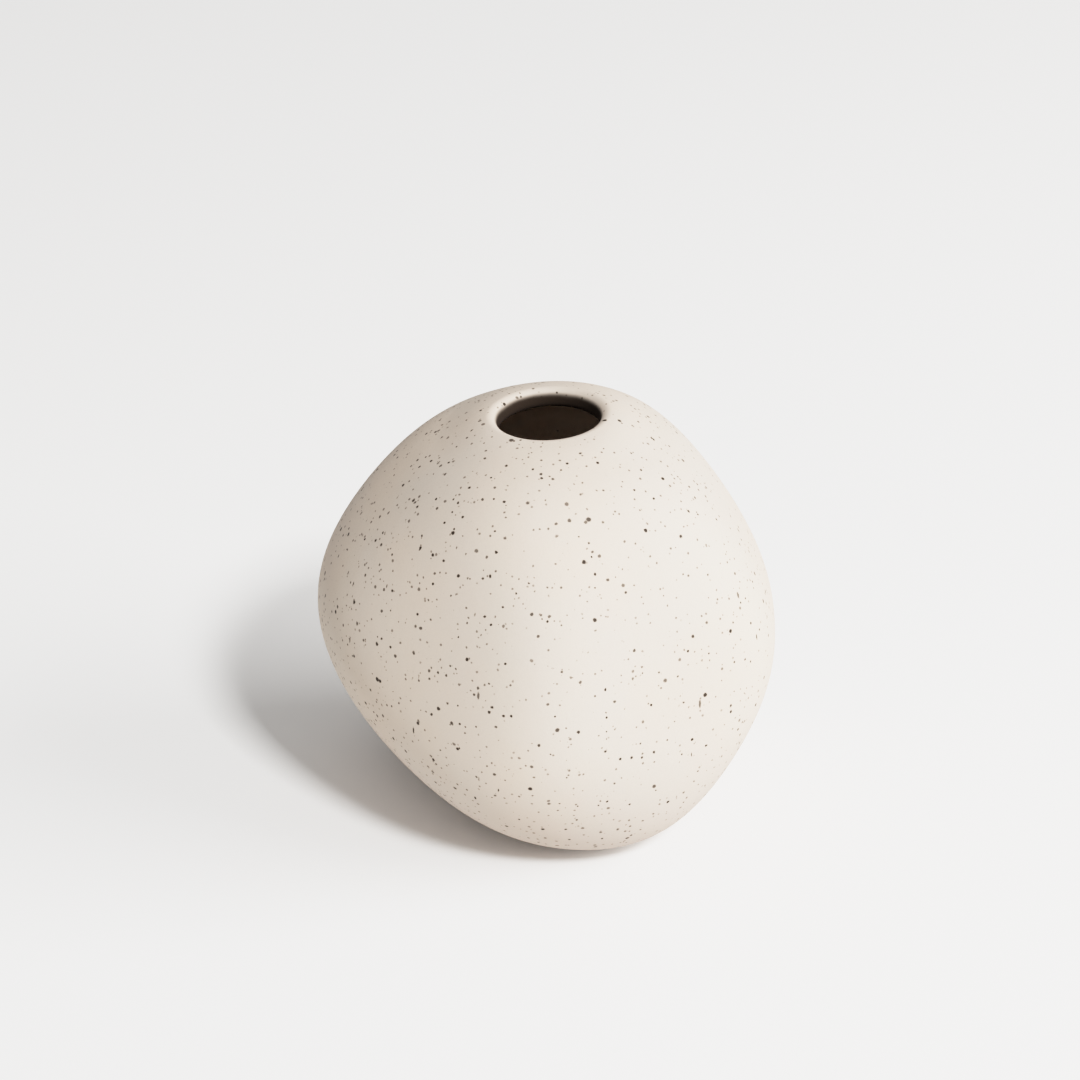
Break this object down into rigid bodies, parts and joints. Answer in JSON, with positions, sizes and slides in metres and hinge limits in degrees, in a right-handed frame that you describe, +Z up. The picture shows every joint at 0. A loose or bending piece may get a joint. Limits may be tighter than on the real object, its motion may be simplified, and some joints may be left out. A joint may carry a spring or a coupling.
{
  "type": "bud vase",
  "caption": "Pebble-shaped ceramic bud vase with soft facets, a small round mouth with a rolled lip, a glazed hollow inside and a round pad under its foot.",
  "frame": {"origin": "centre of the foot, on the surface that the vase stands on", "axes": "+Z up, -Y the front, +X the vase's right side as seen from the front"},
  "size_m": [0.1131, 0.1072, 0.104],
  "materials": {
    "speckled_stoneware": "matt cream stoneware with dark iron specks",
    "clear_liner_glaze": "thin glossy clear glaze over the cream clay",
    "felt": "dense dark wool felt"
  },
  "bodies": {
    "root": {"stoneware_body": "speckled_stoneware", "liner_glaze": "clear_liner_glaze", "base_pad": "felt"}
  },
  "joints": []
}
